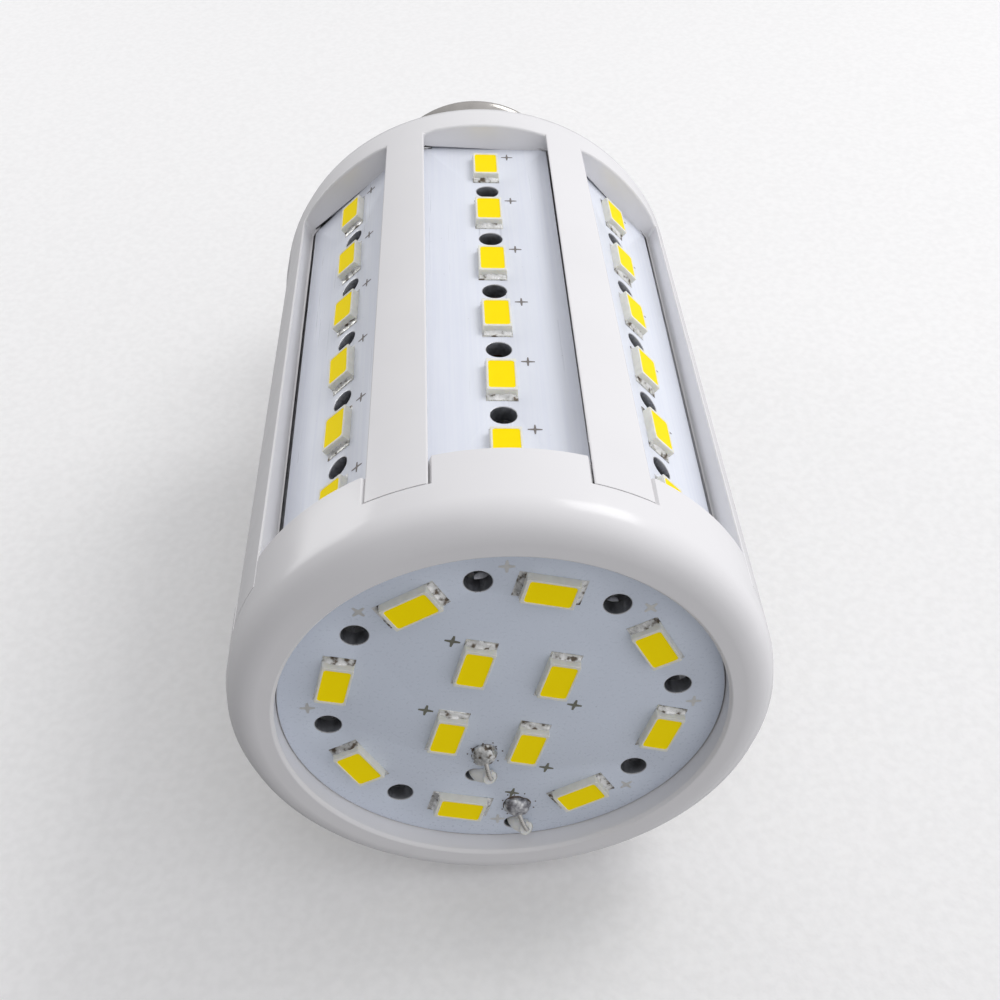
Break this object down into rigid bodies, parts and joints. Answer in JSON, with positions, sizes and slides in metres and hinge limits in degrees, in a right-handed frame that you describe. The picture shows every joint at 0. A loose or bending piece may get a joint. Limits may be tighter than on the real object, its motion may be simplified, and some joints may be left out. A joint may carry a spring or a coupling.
{
  "type": "led light bulb",
  "caption": "Tubular LED lamp: windowed white housing with lit strips on all sides, a lit front disc and a screw cap for a lamp holder.",
  "frame": {"origin": "centre of the flat front rim, the surface that the lamp stands on", "axes": "+Z along the lamp's axis from the front rim to the screw cap's contact; -Y out of side board 1"},
  "size_m": [0.0514, 0.0514, 0.11],
  "materials": {
    "housing_white": "moulded, glossy",
    "board_white": "solder mask on aluminium",
    "led_body": "translucent cream",
    "phosphor": "yellow silicone",
    "solder": "tinned",
    "wire_sleeve": "white insulation",
    "wire_core": "tinned copper",
    "cap_metal": "nickel-plated, rolled",
    "insulator_dark": "dark glass-like",
    "contact_metal": "tinned brass",
    "circuit_board": "laminate",
    "component_dark": "moulded",
    "component_film": "dipped",
    "capacitor_can": "sleeved can"
  },
  "bodies": {
    "root": {"housing_cage": "housing_white", "front_ring": "housing_white", "side_board_1": "board_white", "side_led_bodies_1": "led_body", "side_led_phosphors_1": "phosphor", "side_board_2": "board_white", "side_led_bodies_2": "led_body", "side_led_phosphors_2": "phosphor", "side_board_3": "board_white", "side_led_bodies_3": "led_body", "side_led_phosphors_3": "phosphor", "side_board_4": "board_white", "side_led_bodies_4": "led_body", "side_led_phosphors_4": "phosphor", "side_board_5": "board_white", "side_led_bodies_5": "led_body", "side_led_phosphors_5": "phosphor", "side_board_6": "board_white", "side_led_bodies_6": "led_body", "side_led_phosphors_6": "phosphor", "side_board_7": "board_white", "side_led_bodies_7": "led_body", "side_led_phosphors_7": "phosphor", "side_board_8": "board_white", "side_led_bodies_8": "led_body", "side_led_phosphors_8": "phosphor", "end_board": "board_white", "end_led_bodies": "led_body", "end_led_phosphors": "phosphor", "lead_sleeve_1": "wire_sleeve", "lead_sleeve_2": "wire_sleeve", "lead_core_1": "wire_core", "lead_core_2": "wire_core", "lead_solder_joints": "solder", "screw_cap_shell": "cap_metal", "cap_insulator": "insulator_dark", "centre_contact": "contact_metal", "driver_board": "circuit_board", "electrolytic_capacitor": "capacitor_can", "film_capacitor": "component_film", "bridge_rectifier": "component_dark", "driver_resistors": "component_dark", "cap_live_lead": "wire_core", "cap_shell_lead": "wire_core"}
  },
  "joints": []
}
